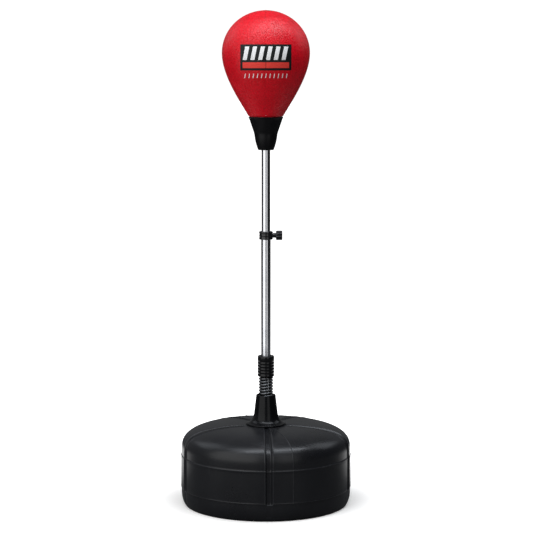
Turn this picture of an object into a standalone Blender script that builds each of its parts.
"""Free-standing punch ball: a red leather ball on a telescopic chromed pole that sways on a coil
spring, held by a hollow black drum that is filled with water or sand through a screw cap.

Metres, +Z up, origin at the middle of the drum's underside. The front is -Y and the clamp knob
points along +X. Azimuths are measured from the front towards +X.
"""
import math

import bmesh
import bpy
from mathutils import Matrix, Vector

# ---- driving dimensions ---------------------------------------------------------------------
GAP = 0.0003                 # clearance between pieces that touch

BAND_R = 0.2300              # drum: proud middle band between the two mould seams
UPPER_R = 0.2285             # drum above the upper seam
LOWER_R = 0.2283             # drum below the lower seam
UPPER_SEAM_Z = 0.1344
LOWER_SEAM_Z = 0.0475
SEAM_BEVEL = 0.0030
DOME_Z = 0.2140              # flat top of the drum
SHOULDER_Z = 0.1444          # where the side starts to curve inwards
SHOULDER_RUN = 0.1847        # how far in the shoulder curve reaches
SHOULDER_POWER = 3.1         # superellipse exponent of the shoulder
FOOT_R = 0.2190              # outer edge of the ring that stands on the floor
FOOT_CURVE_Z = 0.0340
RING_INNER_R = 0.1600        # inner edge of that ring
RECESS_Z = 0.0040
POCKET_R = 0.0450            # bolt pocket under the drum
POCKET_Z = 0.0340
WALL = 0.0040
BORE_R = 0.0070              # hole down the drum's middle for the anchor bolt
CUT_TOP_Z = DOME_Z + 0.0200   # cuts from above start here
DRUM_SIDES = 40

GROOVES = 5                  # moulded grooves that run over the shoulder
GROOVE_AZIMUTH = math.radians(2.2)
GROOVE_START_R = 0.0560
GROOVE_DEPTH = 0.0058
GROOVE_HALF_WIDTH = 0.0095   # on the drum's side
GROOVE_HUB_HALF_WIDTH = 0.0062
GROOVE_FULL_R = 0.1900       # radius from which the groove has its full width
LEDGE_Z = 0.0455

FILLER_AZIMUTH = math.radians(182.2)
FILLER_R = 0.1420
FILLER_SEAT_R = 0.0520
FILLER_SEAT_Z = 0.2035
FILLER_HOLE_R = 0.0175
FILLER_NECK_WALL = 0.0035
FILLER_NECK_Z = 0.1830
CAP_R = 0.0225
CAP_PLUG_R = 0.0166
CAP_PLUG_Z = 0.1910
CAP_TOP_Z = 0.2120
GASKET = 0.0015

CONE_TOP_Z = 0.2952
CONE_TOP_R = 0.0262
CONE_WAIST_Z = 0.2465
CONE_WAIST_R = 0.0318
CONE_SKIRT_R = 0.0536
CONE_WALL = 0.0030

BOLT_AF = 0.0190             # across the flats of the anchor bolt's head
BOLT_HEAD = 0.0075
BOLT_R = 0.0060
BOLT_TOP_Z = 0.2400
WASHER_R = 0.0250
WASHER = 0.0030
BOLT_CLEAR_R = 0.0065
PLUG_BORE_TOP_Z = 0.2450     # blind bore in the spring's bottom plug, over the bolt

SPRING_R = 0.0158            # to the middle of the wire
WIRE_R = 0.0037
COIL_PITCH = 0.0080
SEAT_R = 0.0190              # pedestal that the spring stands on
SEAT_Z = 0.2500
SPIGOT_R = 0.0110            # plugs inside the spring's two ends
LOWER_SPIGOT_Z = 0.2850
UPPER_SPIGOT_Z = 0.3380
SPRING_TOP_Z = 0.3725
PIVOT_Z = 0.3080             # among the free turns, where the pole sways

SLEEVE_R = 0.0223
SLEEVE_BORE_R = 0.0200
SLEEVE_BOTTOM_Z = 0.3460
SLEEVE_TOP_Z = 0.4020
RIB_PITCH = 0.0082
RIBS = 5
RIB_DEPTH = 0.0012
RIB_HALF_WIDTH = 0.0015
TUBE_SEAT_Z = 0.3835
COUPLER_SCREW_Z = 0.3930
TOP_SPIGOT_R = 0.0114        # the top plug's upper spigot, inside the lower tube
TOP_SPIGOT_Z = 0.4300
PLUG_FLANGE_R = 0.0193
SLEEVE_CORNER = 0.0040
SCREW_R = 0.0024
SCREW_HEAD_R = 0.0042
SCREW_TIP = 0.0050           # the screw's tip, head and outer end, measured from the pole's axis
SCREW_HEAD = 0.0190
SCREW_END = 0.0216
SINK_FLOOR = 0.0185
CUT_END = 0.0300             # sideways cuts end here, clear of every surface

LOWER_TUBE_R = 0.0127
LOWER_TUBE_BORE_R = 0.0119
LOWER_TUBE_TOP_Z = 0.7330
UPPER_TUBE_R = 0.0115
UPPER_TUBE_BORE_R = 0.0107
UPPER_TUBE_BOTTOM_Z = 0.6005
UPPER_TUBE_TOP_Z = 1.0010
TUBE_SIDES = 28

COLLAR_R = 0.0182
COLLAR_BOTTOM_Z = 0.7155
COLLAR_TOP_Z = 0.7375
CLAMP_Z = 0.7265             # height of the clamp screw's axis
STUD_R = 0.0040
INSERT_R = 0.0055
BOSS_R = 0.0085
BOSS_END_X = 0.0187
HUB_R = 0.00645
KNOB_R = 0.01285
KNOB_START_X = 0.0270
KNOB_END_X = 0.0440
KNOB_LOBES = 10
PAD_X = 0.0118
PAD = 0.0022                 # thickness of the nylon pad at the stud's tip
BORE_START_X = 0.0050        # holes for the pad and the insert start here
BOSS_START_X = 0.0145
INSERT_START_X = 0.0134
STUD_START_X = 0.0145
STUD_END_X = 0.0400
FLUTE_R = 0.0016
TOP_PLUG_LOW_Z = 0.9680      # threaded plug in the upper tube's top end

CUP_BOTTOM_Z = 0.9545
CUP_WAIST_R = 0.0308
CUP_WAIST_Z = 0.9975
CUP_RIM_R = 0.0462
CUP_RIM_Z = 1.0427
CUP_WALL = 0.0032
CUP_WEB_Z = 1.0080
CUP_SIDES = 32

BALL_R = 0.1167
EQUATOR_Z = 1.2110
CROWN_RISE = 0.1120
TUCK_R = 0.0463              # where the ball meets the cup's rim
TUCK_Z = 1.0446
NECK_FLOOR_Z = 1.0085
COVER = 0.0020               # leather thickness
BLADDER_INSET = 0.0032
BLADDER = 0.0010
VALVE_R = 0.0040
BALL_SIDES = 32
QUARTERS = ("front_right", "back_right", "back_left", "front_left")


# ---- scene, materials and small helpers -----------------------------------------------------
def clear_scene():
    for obj in list(bpy.data.objects):
        bpy.data.objects.remove(obj, do_unlink=True)


def new_collection(name):
    collection = bpy.data.collections.new(name)
    bpy.context.scene.collection.children.link(collection)
    return collection


def material(name, colour, roughness, metallic=0.0):
    mat = bpy.data.materials.new(name)
    mat.use_nodes = True
    shader = mat.node_tree.nodes["Principled BSDF"]
    shader.inputs["Base Color"].default_value = (*colour, 1.0)
    shader.inputs["Roughness"].default_value = roughness
    shader.inputs["Metallic"].default_value = metallic
    return mat


def make_materials():
    return {
        "drum": material("black polyethylene", (0.012, 0.012, 0.013), 0.42),
        "nylon": material("black nylon", (0.010, 0.010, 0.011), 0.32),
        "chrome": material("chromed steel", (0.62, 0.63, 0.65), 0.12, 1.0),
        "spring": material("black oiled steel", (0.030, 0.030, 0.032), 0.25, 0.9),
        "zinc": material("zinc plated steel", (0.42, 0.42, 0.40), 0.38, 1.0),
        "brass": material("brass", (0.55, 0.38, 0.14), 0.30, 1.0),
        "leather": material("red leather", (0.50, 0.012, 0.018), 0.40),
        "rubber": material("black butyl rubber", (0.020, 0.020, 0.020), 0.60),
    }


def pivot(name, location, rotation=(0.0, 0.0, 0.0)):
    """An empty on a joint's axis, which the pieces that move about it hang from."""
    empty = bpy.data.objects.new(name, None)
    empty.location = location
    empty.rotation_euler = rotation
    PARTS.objects.link(empty)
    return empty


def add_object(name, mesh, parent, mat=None, collection=None):
    obj = bpy.data.objects.new(name, mesh)
    (collection or PARTS).objects.link(obj)
    obj.parent = parent
    if mat:
        mesh.materials.append(MATERIALS[mat])
    return obj


def as_cutter(obj):
    obj.hide_render = True
    obj.display_type = "WIRE"
    return obj


def combine(target, tool, operation):
    """Cut, join or intersect a piece with a tool that is kept out of the build."""
    modifier = target.modifiers.new(f"{operation.lower()} {tool.name}", "BOOLEAN")
    modifier.object = tool
    modifier.operation = operation
    modifier.solver = "EXACT"
    return target


def smooth(mesh, degrees=35):
    mesh.shade_smooth()
    mesh.set_sharp_from_angle(angle=math.radians(degrees))


# ---- outlines: (radius, height) points, down the outer side and up the inner side ------------
def bezier(points, steps):
    """Points on a quadratic or cubic Bezier curve, without its first one."""
    out = []
    for i in range(1, steps + 1):
        row = [Vector(p) for p in points]
        while len(row) > 1:
            row = [a.lerp(b, i / steps) for a, b in zip(row, row[1:])]
        out.append(tuple(row[0]))
    return out


def superellipse(outer_r, run, rise, low_z, power, steps):
    """The shoulder curve, from its inner top end down to (outer_r, low_z)."""
    points = []
    for i in range(steps + 1):
        t = math.pi / 2 * (1 - i / steps)
        across = math.cos(t) ** (2 / power) if i else 0.0
        up = math.sin(t) ** (2 / power) if i < steps else 0.0
        points.append((outer_r - run + run * across, low_z + rise * up))
    return points


def turned(name, outline, parent, mat=None, sides=32, closed=True, collection=None):
    """A turned piece: the outline spun about the parent's Z axis with a Screw modifier.

    The outline holds (radius, height) pairs. A height is a world height under an upright parent,
    and a distance from the parent's origin under a parent that lies on its side.
    """
    upright = parent.rotation_euler.x == 0.0 and parent.rotation_euler.y == 0.0
    base = parent.location.z if upright else 0.0
    mesh = bpy.data.meshes.new(name)
    edges = [(i, i + 1) for i in range(len(outline) - 1)]
    if closed:
        edges.append((len(outline) - 1, 0))
    mesh.from_pydata([(r, 0.0, z - base) for r, z in outline], edges, [])
    obj = add_object(name, mesh, parent, mat, collection)
    screw = obj.modifiers.new("turn", "SCREW")
    screw.axis = "Z"
    screw.angle = 2 * math.pi
    screw.steps = sides
    screw.render_steps = sides
    screw.use_merge_vertices = True
    screw.merge_threshold = 0.00001
    screw.use_smooth_shade = True
    return obj


def disc_cutter(name, radius, low, high, parent, sides=32):
    """A plain cylinder about the parent's Z axis that cuts a hole."""
    outline = [(0.0, high), (radius, high), (radius, low), (0.0, low)]
    return as_cutter(turned(name, outline, parent, sides=sides, closed=False, collection=CUTTERS))


def box_cutter(name, size, location, parent):
    """A cube primitive, sized and placed in the parent's frame, that cuts or joins."""
    bpy.ops.mesh.primitive_cube_add(size=1.0)
    box = bpy.context.object
    box.name = name
    box.scale = size
    bpy.ops.object.transform_apply(location=False, rotation=False, scale=True)
    for collection in list(box.users_collection):
        collection.objects.unlink(box)
    CUTTERS.objects.link(box)
    box.parent = parent
    box.location = location
    return as_cutter(box)


# ---- drum -----------------------------------------------------------------------------------
def shoulder(inset, steps=7):
    """Top of the drum from the hub outwards and down to the side, moved in by inset."""
    return superellipse(UPPER_R - inset, SHOULDER_RUN - inset / 2, DOME_Z - SHOULDER_Z - inset,
                        SHOULDER_Z, SHOULDER_POWER, steps)


def drum_side(inset):
    """From under the shoulder to the start of the foot curve, with the proud middle band."""
    return [
        (UPPER_R - inset, UPPER_SEAM_Z + SEAM_BEVEL),
        (BAND_R - inset, UPPER_SEAM_Z),
        (BAND_R - inset, LOWER_SEAM_Z + SEAM_BEVEL / 2),
        (LOWER_R - inset, LOWER_SEAM_Z - SEAM_BEVEL / 2),
        (LOWER_R - inset, FOOT_CURVE_Z),
    ]


def drum_outline():
    foot = bezier([(LOWER_R, FOOT_CURVE_Z), (LOWER_R - 0.0005, 0.0120), (FOOT_R, 0.0)], 3)
    return [
        (0.0, DOME_Z), *shoulder(0.0), *drum_side(0.0), *foot,
        (RING_INNER_R, 0.0),
        (RING_INNER_R - RECESS_Z, RECESS_Z),
        (POCKET_R + 0.0050, RECESS_Z),
        (POCKET_R, POCKET_Z),
        (0.0, POCKET_Z),
    ]


def tank_outline():
    """The hollow inside the drum, round the tube that the anchor bolt passes through."""
    tube_r = BORE_R + WALL
    foot = bezier([(LOWER_R - WALL, FOOT_CURVE_Z), (LOWER_R - WALL, 0.0140), (FOOT_R - WALL / 2, WALL)], 2)
    return [
        (tube_r, DOME_Z - WALL), *shoulder(WALL, 6), *drum_side(WALL), *foot,
        (RING_INNER_R, WALL),
        (RING_INNER_R - RECESS_Z, RECESS_Z + WALL),
        (POCKET_R + 0.0050 + WALL, RECESS_Z + WALL),
        (POCKET_R + WALL, POCKET_Z + WALL),
        (tube_r, POCKET_Z + WALL),
    ]


def groove_cutter(name, parent, depth, margin, start_r, ledge_z):
    """Five radial cutters that follow the drum's surface at the given depth.

    Each is a flat outline in the plane of radius and height, extruded sideways, and narrowed
    towards the hub.
    """
    outside_r = BAND_R + 0.0100
    outside_z = DOME_Z + 0.0200
    floor = [p for p in shoulder(depth) if p[0] > start_r]
    outline = [(start_r, DOME_Z - depth), *floor, (UPPER_R - depth, ledge_z), (outside_r, ledge_z),
               (outside_r, outside_z), (start_r, outside_z)]
    curve = bpy.data.curves.new(name, "CURVE")
    curve.dimensions = "2D"
    curve.fill_mode = "BOTH"
    curve.extrude = 1.0
    spline = curve.splines.new("POLY")
    spline.points.add(len(outline) - 1)
    for point, (r, z) in zip(spline.points, outline):
        point.co = (r, z, 0.0, 1.0)
    spline.use_cyclic_u = True
    flat = add_object(name + "_outline", curve, None, collection=CUTTERS)
    one = mesh_of(flat)
    mesh = bpy.data.meshes.new(name)
    bm = bmesh.new()
    for i in range(GROOVES):
        before = set(bm.verts)
        bm.from_mesh(one)
        new = [v for v in bm.verts if v not in before]
        turn = Matrix.Rotation(GROOVE_AZIMUTH + i * 2 * math.pi / GROOVES - math.pi / 2, 4, "Z")
        for v in new:
            r, z, side = v.co
            v.co = turn @ Vector((r, -side * (groove_half_width(r) + margin), z))
    bm.to_mesh(mesh)
    bm.free()
    return as_cutter(add_object(name, mesh, parent, collection=CUTTERS))


def groove_half_width(r):
    share = (min(max(r, GROOVE_START_R), GROOVE_FULL_R) - GROOVE_START_R) / (GROOVE_FULL_R - GROOVE_START_R)
    return GROOVE_HUB_HALF_WIDTH + share * (GROOVE_HALF_WIDTH - GROOVE_HUB_HALF_WIDTH)


def mesh_of(curve_object):
    """The closed mesh of a filled curve, whose caps are welded on. The curve is removed."""
    bpy.context.view_layer.update()
    graph = bpy.context.evaluated_depsgraph_get()
    mesh = bpy.data.meshes.new_from_object(curve_object.evaluated_get(graph))
    bm = bmesh.new()
    bm.from_mesh(mesh)
    bmesh.ops.remove_doubles(bm, verts=bm.verts, dist=0.00001)
    bmesh.ops.recalc_face_normals(bm, faces=bm.faces)
    bm.to_mesh(mesh)
    bm.free()
    bpy.data.objects.remove(curve_object, do_unlink=True)
    return mesh


def filler_place():
    return (FILLER_R * math.sin(FILLER_AZIMUTH), -FILLER_R * math.cos(FILLER_AZIMUTH), 0.0)


def build_drum(frame, filler):
    tank = as_cutter(turned("tank_hollow", tank_outline(), frame, sides=DRUM_SIDES, collection=CUTTERS))
    liners = groove_cutter("groove_liners", frame, GROOVE_DEPTH + WALL, WALL,
                           GROOVE_START_R - WALL, LEDGE_Z - WALL)
    combine(tank, liners, "DIFFERENCE")
    seat_liner = disc_cutter("seat_liner", FILLER_SEAT_R + WALL, FILLER_SEAT_Z - WALL,
                             DOME_Z + WALL, filler)
    combine(tank, seat_liner, "DIFFERENCE")

    drum = turned("base_shell", drum_outline(), frame, "drum", DRUM_SIDES, closed=False)
    grooves = groove_cutter("groove_cuts", frame, GROOVE_DEPTH, 0.0, GROOVE_START_R, LEDGE_Z)
    combine(drum, grooves, "DIFFERENCE")
    seat = disc_cutter("filler_seat", FILLER_SEAT_R, FILLER_SEAT_Z, CUT_TOP_Z, filler)
    combine(drum, seat, "DIFFERENCE")
    combine(drum, tank, "DIFFERENCE")
    neck = disc_cutter("filler_neck", FILLER_HOLE_R + FILLER_NECK_WALL, FILLER_NECK_Z,
                       FILLER_SEAT_Z - WALL / 2, filler)
    combine(drum, neck, "UNION")
    hole = disc_cutter("filler_hole", FILLER_HOLE_R, FILLER_NECK_Z - 0.01, CUT_TOP_Z, filler)
    combine(drum, hole, "DIFFERENCE")
    bore = disc_cutter("anchor_bore", BORE_R, 0.0, CUT_TOP_Z, frame, 16)
    combine(drum, bore, "DIFFERENCE")


def build_filler(filler):
    gasket_z = FILLER_SEAT_Z + GAP
    flange_z = gasket_z + GASKET + GAP
    ring = [(CAP_R - 0.0010, gasket_z + GASKET), (CAP_R - 0.0010, gasket_z),
            (CAP_PLUG_R + 0.0005, gasket_z), (CAP_PLUG_R + 0.0005, gasket_z + GASKET)]
    turned("filler_gasket", ring, filler, "rubber", 24)
    plug = [(0.0, CAP_TOP_Z), (CAP_R - 0.0018, CAP_TOP_Z), (CAP_R, CAP_TOP_Z - 0.0018), (CAP_R, flange_z),
            (CAP_PLUG_R, flange_z), (CAP_PLUG_R, CAP_PLUG_Z), (0.0, CAP_PLUG_Z)]
    cap = turned("filler_cap", plug, filler, "nylon", 24, closed=False)
    combine(cap, box_cutter("cap_grip", (0.0300, 0.0060, 0.0060), (0.0, 0.0, CAP_TOP_Z), filler), "UNION")


# ---- neck cone and anchor -------------------------------------------------------------------
def build_neck_cone(frame):
    low = DOME_Z + GAP
    flare = bezier([(CONE_WAIST_R, CONE_WAIST_Z), (0.0345, 0.2225), (0.0510, 0.2190)], 5)
    inside = bezier([(0.0480, low + CONE_WALL), (0.0330, 0.2200),
                     (CONE_WAIST_R - CONE_WALL, CONE_WAIST_Z)], 3)
    outline = [
        (CONE_TOP_R - 0.0012, CONE_TOP_Z), (CONE_TOP_R - 0.0002, CONE_TOP_Z - 0.0014),
        (CONE_TOP_R, CONE_TOP_Z - 0.0060), (CONE_WAIST_R, CONE_WAIST_Z), *flare,
        (CONE_SKIRT_R, low + 0.0030), (CONE_SKIRT_R, low),
        (BORE_R, low), (BORE_R, low + CONE_WALL), (0.0480, low + CONE_WALL), *inside,
        (CONE_TOP_R - CONE_WALL, CONE_TOP_Z - 0.0060), (CONE_TOP_R - CONE_WALL, CONE_TOP_Z),
    ]
    turned("neck_cone", outline, frame, "nylon", CUP_SIDES)


def hex_headed(name, parent, mat, head_af, head_low, head_high, shank_r, shank_low, shank_high):
    """A bolt: a hexagonal prism joined to a round shank."""
    shank = [(0.0, shank_high), (shank_r - 0.0008, shank_high), (shank_r, shank_high - 0.0008),
             (shank_r, shank_low), (0.0, shank_low)]
    bolt = turned(name, shank, parent, mat, 20, closed=False)
    corner_r = head_af / math.sqrt(3)
    combine(bolt, disc_cutter(name + "_head", corner_r, head_low, head_high, parent, 6), "UNION")


def build_anchor(frame):
    washer_top = POCKET_Z - GAP
    washer_low = washer_top - WASHER
    washer = [(WASHER_R, washer_top), (WASHER_R, washer_low),
              (BOLT_CLEAR_R, washer_low), (BOLT_CLEAR_R, washer_top)]
    turned("anchor_washer", washer, frame, "zinc", 28)
    head_high = washer_low - GAP
    hex_headed("anchor_bolt", frame, "zinc", BOLT_AF, head_high - BOLT_HEAD, head_high,
               BOLT_R, head_high - BOLT_HEAD / 2, BOLT_TOP_Z)
    seat_low = DOME_Z + 2 * GAP + CONE_WALL
    plug = [
        (0.0, LOWER_SPIGOT_Z), (SPIGOT_R - 0.0015, LOWER_SPIGOT_Z), (SPIGOT_R, LOWER_SPIGOT_Z - 0.0015),
        (SPIGOT_R, SEAT_Z), (SEAT_R, SEAT_Z), (SEAT_R, seat_low), (BOLT_R + GAP, seat_low),
        (BOLT_R + GAP, PLUG_BORE_TOP_Z), (0.0, PLUG_BORE_TOP_Z),
    ]
    turned("spring_bottom_plug", plug, frame, "zinc", 24, closed=False)


# ---- spring and coupler ---------------------------------------------------------------------
def build_spring(sway):
    """A close-wound helix, as a poly curve with ten points to a turn."""
    low = SEAT_Z + GAP + WIRE_R
    high = SPRING_TOP_Z - GAP - WIRE_R
    per_turn = 10
    count = round((high - low) / COIL_PITCH * per_turn)
    curve = bpy.data.curves.new("coil_spring", "CURVE")
    curve.dimensions = "3D"
    curve.bevel_depth = WIRE_R
    curve.bevel_resolution = 2
    curve.use_fill_caps = True
    spline = curve.splines.new("POLY")
    spline.points.add(count)
    for i, point in enumerate(spline.points):
        angle = 2 * math.pi * i / per_turn
        z = low + (high - low) * i / count
        point.co = (SPRING_R * math.cos(angle), SPRING_R * math.sin(angle), z - PIVOT_Z, 1.0)
    mesh = mesh_of(add_object("coil_path", curve, None))
    mesh.name = "coil_spring"
    smooth(mesh, 60)
    add_object("coil_spring", mesh, sway, "spring")


def build_coupler(sway, screw_axis):
    plug = [
        (0.0, TOP_SPIGOT_Z), (TOP_SPIGOT_R - 0.0014, TOP_SPIGOT_Z),
        (TOP_SPIGOT_R, TOP_SPIGOT_Z - 0.0014), (TOP_SPIGOT_R, TUBE_SEAT_Z),
        (PLUG_FLANGE_R, TUBE_SEAT_Z), (PLUG_FLANGE_R, SPRING_TOP_Z), (SPIGOT_R, SPRING_TOP_Z),
        (SPIGOT_R, UPPER_SPIGOT_Z + 0.0015), (SPIGOT_R - 0.0015, UPPER_SPIGOT_Z), (0.0, UPPER_SPIGOT_Z),
    ]
    top_plug = turned("spring_top_plug", plug, sway, "zinc", 24, closed=False)
    corner = bezier([(SLEEVE_R - SLEEVE_CORNER, SLEEVE_TOP_Z), (SLEEVE_R, SLEEVE_TOP_Z),
                     (SLEEVE_R, SLEEVE_TOP_Z - SLEEVE_CORNER)], 3)
    ribs = []
    for i in reversed(range(RIBS)):
        z = SLEEVE_BOTTOM_Z + 0.0075 + i * RIB_PITCH
        ribs += [(SLEEVE_R, z + RIB_HALF_WIDTH), (SLEEVE_R - RIB_DEPTH, z), (SLEEVE_R, z - RIB_HALF_WIDTH)]
    ledge_z = TUBE_SEAT_Z + 0.0010
    outline = [
        (SLEEVE_R - SLEEVE_CORNER, SLEEVE_TOP_Z), *corner, *ribs,
        (SLEEVE_R, SLEEVE_BOTTOM_Z + 0.0008), (SLEEVE_R - 0.0008, SLEEVE_BOTTOM_Z),
        (SLEEVE_BORE_R, SLEEVE_BOTTOM_Z), (SLEEVE_BORE_R, ledge_z),
        (LOWER_TUBE_R + 0.0004, ledge_z), (LOWER_TUBE_R + 0.0004, SLEEVE_TOP_Z),
    ]
    sleeve = turned("coupler_sleeve", outline, sway, "nylon", 24)
    hole = disc_cutter("coupler_screw_hole", SCREW_R + 0.0004, SCREW_TIP - 0.001, CUT_END,
                       screw_axis, 12)
    combine(top_plug, hole, "DIFFERENCE")
    combine(sleeve, hole, "DIFFERENCE")
    sink = disc_cutter("coupler_screw_sink", SCREW_HEAD_R + 0.0004, SINK_FLOOR, CUT_END, screw_axis, 16)
    combine(sleeve, sink, "DIFFERENCE")
    screw = [(0.0, SCREW_END), (SCREW_HEAD_R, SCREW_END), (SCREW_HEAD_R, SCREW_HEAD),
             (SCREW_R, SCREW_HEAD), (SCREW_R, SCREW_TIP), (0.0, SCREW_TIP)]
    turned("coupler_screw", screw, screw_axis, "zinc", 16, closed=False)
    return hole


# ---- telescopic pole and clamp --------------------------------------------------------------
def tube(name, outer_r, bore_r, low, high, parent):
    outline = [(outer_r, high), (outer_r, low), (bore_r, low), (bore_r, high)]
    return turned(name, outline, parent, "chrome", TUBE_SIDES)


def build_lower_pole(sway, clamp, screw_hole):
    lower = tube("lower_tube", LOWER_TUBE_R, LOWER_TUBE_BORE_R, TUBE_SEAT_Z + GAP, LOWER_TUBE_TOP_Z, sway)
    combine(lower, screw_hole, "DIFFERENCE")
    window = disc_cutter("pad_window", STUD_R + 0.0006, BORE_START_X, CUT_END, clamp, 16)
    combine(lower, window, "DIFFERENCE")
    waist_r = COLLAR_R - 0.0007
    outline = [
        (COLLAR_R - 0.0020, COLLAR_TOP_Z), (COLLAR_R, COLLAR_TOP_Z - 0.0014),
        (COLLAR_R, COLLAR_TOP_Z - 0.0062), (waist_r, COLLAR_TOP_Z - 0.0070),
        (waist_r, COLLAR_BOTTOM_Z + 0.0070), (COLLAR_R, COLLAR_BOTTOM_Z + 0.0062),
        (COLLAR_R, COLLAR_BOTTOM_Z + 0.0014), (COLLAR_R - 0.0020, COLLAR_BOTTOM_Z),
        (LOWER_TUBE_R + GAP, COLLAR_BOTTOM_Z), (LOWER_TUBE_R + GAP, LOWER_TUBE_TOP_Z + GAP),
        (UPPER_TUBE_R + 0.0004, LOWER_TUBE_TOP_Z + GAP), (UPPER_TUBE_R + 0.0004, COLLAR_TOP_Z),
    ]
    collar = turned("clamp_collar", outline, sway, "nylon", TUBE_SIDES)
    boss = disc_cutter("collar_boss", BOSS_R, BOSS_START_X, BOSS_END_X, clamp, 24)
    combine(collar, boss, "UNION")
    hole = disc_cutter("insert_hole", INSERT_R + GAP, BORE_START_X, CUT_END, clamp, 24)
    combine(collar, hole, "DIFFERENCE")
    insert = [(INSERT_R, BOSS_END_X), (INSERT_R, INSERT_START_X),
              (STUD_R + GAP, INSERT_START_X), (STUD_R + GAP, BOSS_END_X)]
    turned("clamp_thread_insert", insert, clamp, "brass", 24)


def build_clamp_screw(clamp):
    pad = [(0.0, PAD_X + PAD), (STUD_R, PAD_X + PAD), (STUD_R, PAD_X + 0.0006),
           (STUD_R - 0.0006, PAD_X), (0.0, PAD_X)]
    turned("clamp_pad", pad, clamp, "nylon", 16, closed=False)
    stud = [(0.0, STUD_END_X), (STUD_R - 0.0006, STUD_END_X), (STUD_R, STUD_END_X - 0.0006),
            (STUD_R, STUD_START_X), (0.0, STUD_START_X)]
    turned("clamp_stud", stud, clamp, "zinc", 16, closed=False)
    outline = [
        (0.0, KNOB_END_X), (KNOB_R - 0.0022, KNOB_END_X), (KNOB_R - 0.0005, KNOB_END_X - 0.0008),
        (KNOB_R, KNOB_END_X - 0.0025), (KNOB_R, KNOB_START_X + 0.0018), (KNOB_R - 0.0018, KNOB_START_X),
        (HUB_R, KNOB_START_X), (HUB_R, BOSS_END_X + GAP),
        (STUD_R + GAP, BOSS_END_X + GAP), (STUD_R + GAP, STUD_END_X + GAP), (0.0, STUD_END_X + GAP),
    ]
    knob = turned("clamp_knob", outline, clamp, "nylon", 20, closed=False)
    for i in range(KNOB_LOBES):
        angle = 2 * math.pi * i / KNOB_LOBES
        flute = disc_cutter(f"knob_flute_{i}", FLUTE_R, KNOB_START_X - 0.001, KNOB_END_X + 0.001,
                            clamp, 8)
        flute.location = ((KNOB_R + 0.0006) * math.cos(angle), (KNOB_R + 0.0006) * math.sin(angle), 0.0)
        combine(knob, flute, "DIFFERENCE")


def build_upper_pole(slide):
    tube("upper_tube", UPPER_TUBE_R, UPPER_TUBE_BORE_R, UPPER_TUBE_BOTTOM_Z, UPPER_TUBE_TOP_Z, slide)
    bore_r = UPPER_TUBE_BORE_R - GAP
    foot = [
        (0.0, UPPER_TUBE_BOTTOM_Z + 0.0200), (bore_r - 0.0010, UPPER_TUBE_BOTTOM_Z + 0.0200),
        (bore_r, UPPER_TUBE_BOTTOM_Z + 0.0185), (bore_r, UPPER_TUBE_BOTTOM_Z - GAP),
        (UPPER_TUBE_R, UPPER_TUBE_BOTTOM_Z - GAP), (UPPER_TUBE_R, UPPER_TUBE_BOTTOM_Z - 0.0050),
        (0.0, UPPER_TUBE_BOTTOM_Z - 0.0050),
    ]
    turned("upper_tube_foot", foot, slide, "nylon", TUBE_SIDES, closed=False)
    plug = [(bore_r, UPPER_TUBE_TOP_Z), (bore_r, TOP_PLUG_LOW_Z),
            (STUD_R + GAP, TOP_PLUG_LOW_Z), (STUD_R + GAP, UPPER_TUBE_TOP_Z)]
    turned("tube_top_plug", plug, slide, "zinc", TUBE_SIDES)


# ---- ball -----------------------------------------------------------------------------------
def build_cup(slide):
    lower = bezier([(CUP_WAIST_R, CUP_WAIST_Z), (0.0290, 0.9760), (0.0205, CUP_BOTTOM_Z)], 5)
    bore_r = UPPER_TUBE_R + GAP
    web_share = (CUP_WEB_Z - CUP_WAIST_Z) / (CUP_RIM_Z - CUP_WAIST_Z)
    floor_r = CUP_WAIST_R + (CUP_RIM_R - CUP_WAIST_R) * web_share - CUP_WALL
    outline = [
        (CUP_RIM_R - 0.0008, CUP_RIM_Z), (CUP_RIM_R, CUP_RIM_Z - 0.0012),
        (CUP_WAIST_R, CUP_WAIST_Z), *lower,
        (bore_r, CUP_BOTTOM_Z), (bore_r, UPPER_TUBE_TOP_Z + GAP), (STUD_R + GAP, UPPER_TUBE_TOP_Z + GAP),
        (STUD_R + GAP, CUP_WEB_Z), (floor_r, CUP_WEB_Z), (CUP_RIM_R - CUP_WALL, CUP_RIM_Z),
    ]
    turned("ball_cup", outline, slide, "nylon", CUP_SIDES)


def crown(inset, steps, start_r):
    """The ball's upper half, an ellipse from beside its pole down to the equator."""
    across = BALL_R - inset
    rise = CROWN_RISE - inset
    first = math.asin(start_r / across)
    angles = [first + (math.pi / 2 - first) * i / steps for i in range(steps + 1)]
    return [(across * math.sin(a), EQUATOR_Z + rise * math.cos(a)) for a in angles]


def flank(inset, end_r, end_z, steps):
    """The ball's lower half, a fair curve from the equator to its neck."""
    slope = 0.60
    return bezier([(BALL_R - inset, EQUATOR_Z), (BALL_R - inset, EQUATOR_Z - 0.0566),
                   (end_r + slope * 0.0466, end_z + 0.0466), (end_r, end_z)], steps)


def solid_shell(name, outline, thickness, parent, mat, sides, collection=None):
    shell = turned(name, outline, parent, mat, sides, closed=False, collection=collection)
    solidify = shell.modifiers.new("thickness", "SOLIDIFY")
    solidify.thickness = thickness
    solidify.offset = -1.0
    solidify.use_even_offset = True
    return shell


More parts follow.
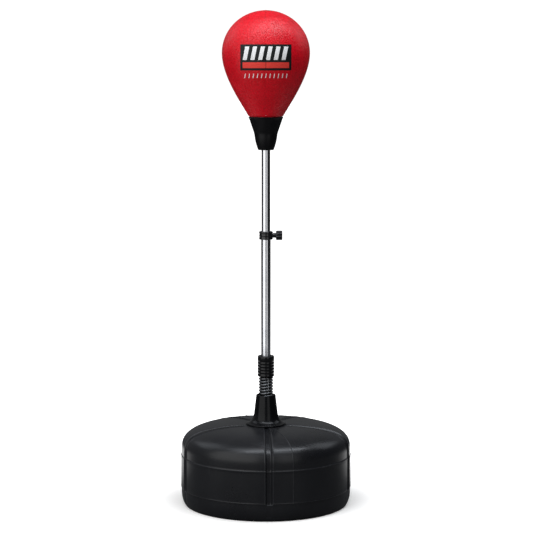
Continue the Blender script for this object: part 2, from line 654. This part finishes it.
def build_cover(slide):
    """Four leather panels, cut from one shell along its upright seams."""
    inner_wall_r = CUP_RIM_R - CUP_WALL - 0.0008
    neck_r = CUP_WAIST_R - 0.0008
    outline = [
        *crown(0.0, 7, VALVE_R), *flank(0.0, TUCK_R, TUCK_Z, 7),
        (inner_wall_r, CUP_RIM_Z + 0.0004), (inner_wall_r - 0.0012, CUP_RIM_Z - 0.0030),
        (neck_r, NECK_FLOOR_Z + 0.0012), (neck_r - 0.0015, NECK_FLOOR_Z), (0.0065, NECK_FLOOR_Z),
    ]
    half_seam = GAP / 2
    size = 0.4
    for i, name in enumerate(QUARTERS):
        panel = solid_shell(f"ball_panel_{name}", outline, COVER, slide, "leather", BALL_SIDES)
        side_x = 1 if i < 2 else -1
        side_y = -1 if i in (0, 3) else 1
        offset = size / 2 + half_seam
        centre = (side_x * offset, side_y * offset, EQUATOR_Z - slide.location.z)
        combine(panel, box_cutter(f"panel_box_{name}", (size, size, size), centre, slide), "INTERSECT")


def build_bladder(slide):
    end_r, end_z = TUCK_R - 0.0040, TUCK_Z + 0.0040
    outline = [
        *crown(BLADDER_INSET, 6, 0.0022), *flank(BLADDER_INSET, end_r, end_z, 5),
        (0.0330, 1.0310), (0.0200, 1.0200), (0.0, 1.0180),
    ]
    solid_shell("ball_bladder", outline, BLADDER, slide, "rubber", 24)
    top_z = EQUATOR_Z + CROWN_RISE
    valve = [(0.0, top_z + 0.0002), (VALVE_R - 0.0012, top_z + 0.0002), (VALVE_R - 0.0005, top_z - 0.0006),
             (VALVE_R - 0.0005, top_z - 0.0026), (0.0018, top_z - 0.0026), (0.0018, top_z - 0.0160),
             (0.0, top_z - 0.0160)]
    turned("bladder_valve", valve, slide, "rubber", 16, closed=False)


def build_neck_stud(slide):
    plate_z = NECK_FLOOR_Z + COVER + 0.0005
    outline = [(0.0, plate_z + 0.0030), (0.0240, plate_z + 0.0030), (0.0240, plate_z), (STUD_R, plate_z),
               (STUD_R, 0.9750), (0.0, 0.9750)]
    turned("ball_neck_stud", outline, slide, "zinc", 24, closed=False)


# ---- assembly -------------------------------------------------------------------------------
def main():
    frame = pivot("drum_frame", (0.0, 0.0, 0.0))
    filler = pivot("filler_axis", filler_place())
    sway = pivot("sway_pivot", (0.0, 0.0, PIVOT_Z))
    screw_axis = pivot("coupler_screw_axis", (0.0, 0.0, COUPLER_SCREW_Z), (-math.pi / 2, 0.0, 0.0))
    clamp = pivot("clamp_axis", (0.0, 0.0, CLAMP_Z), (0.0, math.pi / 2, 0.0))
    slide = pivot("pole_slide", (0.0, 0.0, COLLAR_TOP_Z))

    build_drum(frame, filler)
    build_filler(filler)
    build_neck_cone(frame)
    build_anchor(frame)
    build_spring(sway)
    screw_hole = build_coupler(sway, screw_axis)
    build_lower_pole(sway, clamp, screw_hole)
    build_clamp_screw(clamp)
    build_upper_pole(slide)
    build_cup(slide)
    build_cover(slide)
    build_bladder(slide)
    build_neck_stud(slide)


clear_scene()
PARTS = new_collection("punch_ball_stand")
CUTTERS = new_collection("cutters")
MATERIALS = make_materials()
main()
